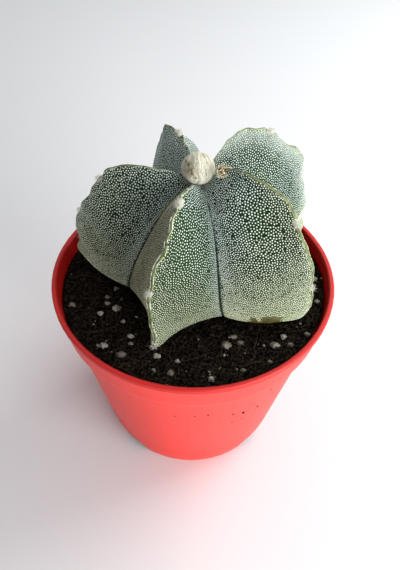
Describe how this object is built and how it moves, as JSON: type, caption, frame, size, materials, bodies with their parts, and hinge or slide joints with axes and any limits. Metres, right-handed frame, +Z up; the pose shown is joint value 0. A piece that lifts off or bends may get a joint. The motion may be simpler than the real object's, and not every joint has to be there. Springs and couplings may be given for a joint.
{
  "type": "potted cactus",
  "caption": "Broad ribbed cactus with a woolly crown bud, growing in a round tapered plastic pot full of potting mix.",
  "frame": {"origin": "centre of the pot's flat underside, on the ground", "axes": "+Z up along the pot's axis; -Y is the side seen in the picture, with the front rib a little to its left"},
  "size_m": [0.105, 0.105, 0.131],
  "materials": {
    "red_plastic": "satin coral red moulded plastic, darker at the lip",
    "potting_mix": "matt, near-black fibrous peat with pale perlite grains; fabric stands in for soil",
    "cactus_skin": "waxy dark green skin covered in small white woolly flecks; leather stands in for plant skin",
    "cream_wool": "silky cream plant hair; fabric stands in for it",
    "dried_flower": "dry, matt tan flower remains; fabric stands in for them"
  },
  "bodies": {
    "root": {"pot": "red_plastic", "soil": "potting_mix", "cactus_body": "cactus_skin", "crown_wool": "cream_wool", "dried_flower": "dried_flower"}
  },
  "joints": []
}
